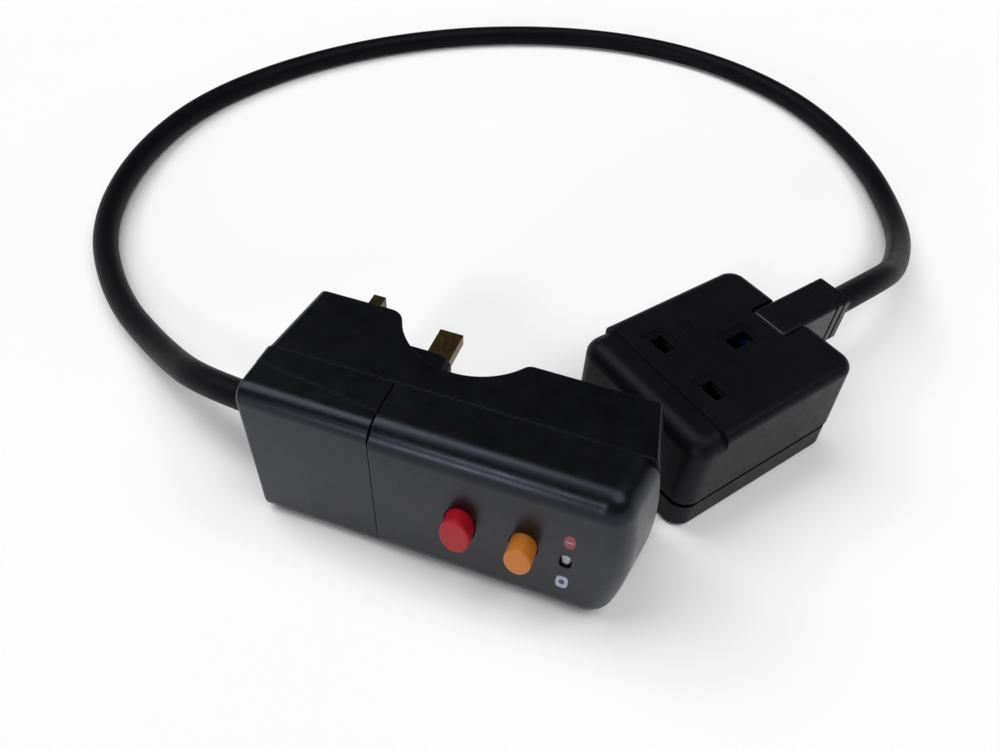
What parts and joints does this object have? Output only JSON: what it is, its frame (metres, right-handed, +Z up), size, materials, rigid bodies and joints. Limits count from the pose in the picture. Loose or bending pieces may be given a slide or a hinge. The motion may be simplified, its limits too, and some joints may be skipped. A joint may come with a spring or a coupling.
{
  "type": "rcd extension lead",
  "caption": "Short extension lead: a three-pin plug with a built-in residual current device, a round black flex and a trailing single socket.",
  "frame": {"origin": "On the floor, midway along and across the box round the plug and the socket, without the flex.", "axes": "X runs along the socket towards its flex, Y across the socket, Z up. The plug lies on its side, turned 53.2 degrees clockwise from X seen from above, with its pins between +X and +Y."},
  "size_m": [0.3536, 0.3401, 0.0545],
  "materials": {
    "plug_moulding": "satin moulded black plastic",
    "socket_moulding": "matte black tough rubber-like plastic",
    "flex_sheath": "matte black rubber",
    "gland": "satin black plastic",
    "brass": "bright brass",
    "pin_sleeve": "black insulating sleeve",
    "test_button": "glossy red plastic",
    "reset_button": "glossy orange plastic",
    "lens": "clear plastic",
    "flag": "pale plastic",
    "steel": "zinc-plated steel",
    "spring_steel": "spring steel",
    "inner_plastic": "white moulded plastic",
    "grip_plastic": "black moulded plastic",
    "board": "green laminate",
    "components": "black moulded components",
    "resistor": "tan lacquer",
    "fuse_body": "white ceramic",
    "copper": "enamelled copper winding",
    "iron_core": "dark sintered core",
    "line_core": "brown core insulation",
    "neutral_core": "blue core insulation",
    "earth_core": "green and yellow core insulation"
  },
  "bodies": {
    "housing": {"plug_base": "plug_moulding", "wiring_cover": "plug_moulding", "rcd_cover": "plug_moulding", "line_pin": "brass", "neutral_pin": "brass", "earth_pin": "brass", "pin_sleeves": "pin_sleeve", "wiring_cover_screw": "steel", "rcd_cover_screws": "steel", "plug_cord_grip": "grip_plastic", "plug_grip_screws": "steel", "circuit_board": "board", "board_screws": "steel", "board_components": "components", "test_resistor": "resistor", "fuse_body": "fuse_body", "fuse_caps": "steel", "fuse_clips": "brass", "neutral_strap": "brass", "plug_terminals": "brass", "plug_terminal_screws": "steel", "test_spring": "spring_steel", "reset_spring": "spring_steel", "switch_frame": "inner_plastic", "fixed_contacts": "brass", "carriage_springs": "spring_steel", "test_contact": "brass", "indicator_lens": "lens", "trip_coil": "copper", "trip_yoke": "steel", "plunger_spring": "spring_steel", "sensor_core": "iron_core", "sensor_winding": "copper", "sensor_links": "copper", "line_core": "line_core", "neutral_core": "neutral_core", "earth_core": "earth_core", "mains_cable": "flex_sheath", "socket_base": "socket_moulding", "socket_shell": "socket_moulding", "socket_line_contact": "brass", "socket_neutral_contact": "brass", "socket_earth_contact": "brass", "socket_terminal_screws": "steel", "socket_case_screws": "steel", "shutter_spring": "spring_steel", "gland_sleeve": "gland"},
    "test_button": {"test_button": "test_button"},
    "reset_button": {"reset_button": "reset_button"},
    "contact_carriage": {"contact_carriage": "inner_plastic", "moving_contacts": "brass"},
    "indicator_flag": {"indicator_flag": "flag"},
    "trip_plunger": {"trip_plunger": "steel"},
    "shutter": {"shutter": "inner_plastic"}
  },
  "joints": [
    {"name": "test_press", "type": "slide", "parent": "housing", "child": "test_button", "axis": [0.8007, 0.599, 0], "range_m": [0, 0.002], "stiffness_N_per_m": 400, "springref_m": -0.002, "deforming": ["test_spring"]},
    {"name": "reset_press", "type": "slide", "parent": "housing", "child": "reset_button", "axis": [0.8007, 0.599, 0], "range_m": [0, 0.0025], "stiffness_N_per_m": 400, "springref_m": -0.002, "deforming": ["reset_spring"]},
    {"name": "contact_slide", "type": "slide", "parent": "housing", "child": "contact_carriage", "axis": [0.8007, 0.599, 0], "range_m": [0, 0.0025], "stiffness_N_per_m": 200, "springref_m": -0.001, "deforming": ["carriage_springs"]},
    {"name": "flag_slide", "type": "slide", "parent": "housing", "child": "indicator_flag", "axis": [0, 0, 1], "range_m": [0, 0.003]},
    {"name": "plunger_slide", "type": "slide", "parent": "housing", "child": "trip_plunger", "axis": [-0.599, 0.8007, 0], "range_m": [0, 0.0025], "stiffness_N_per_m": 150, "springref_m": -0.002, "deforming": ["plunger_spring"]},
    {"name": "shutter_slide", "type": "slide", "parent": "housing", "child": "shutter", "axis": [-1, 0, 0], "range_m": [0, 0.0056], "stiffness_N_per_m": 150, "springref_m": -0.003, "deforming": ["shutter_spring"]}
  ],
  "couplings": [
    {"joint": "contact_slide", "follows": "reset_press", "ratio": 1},
    {"joint": "flag_slide", "follows": "reset_press", "ratio": 1.2}
  ]
}
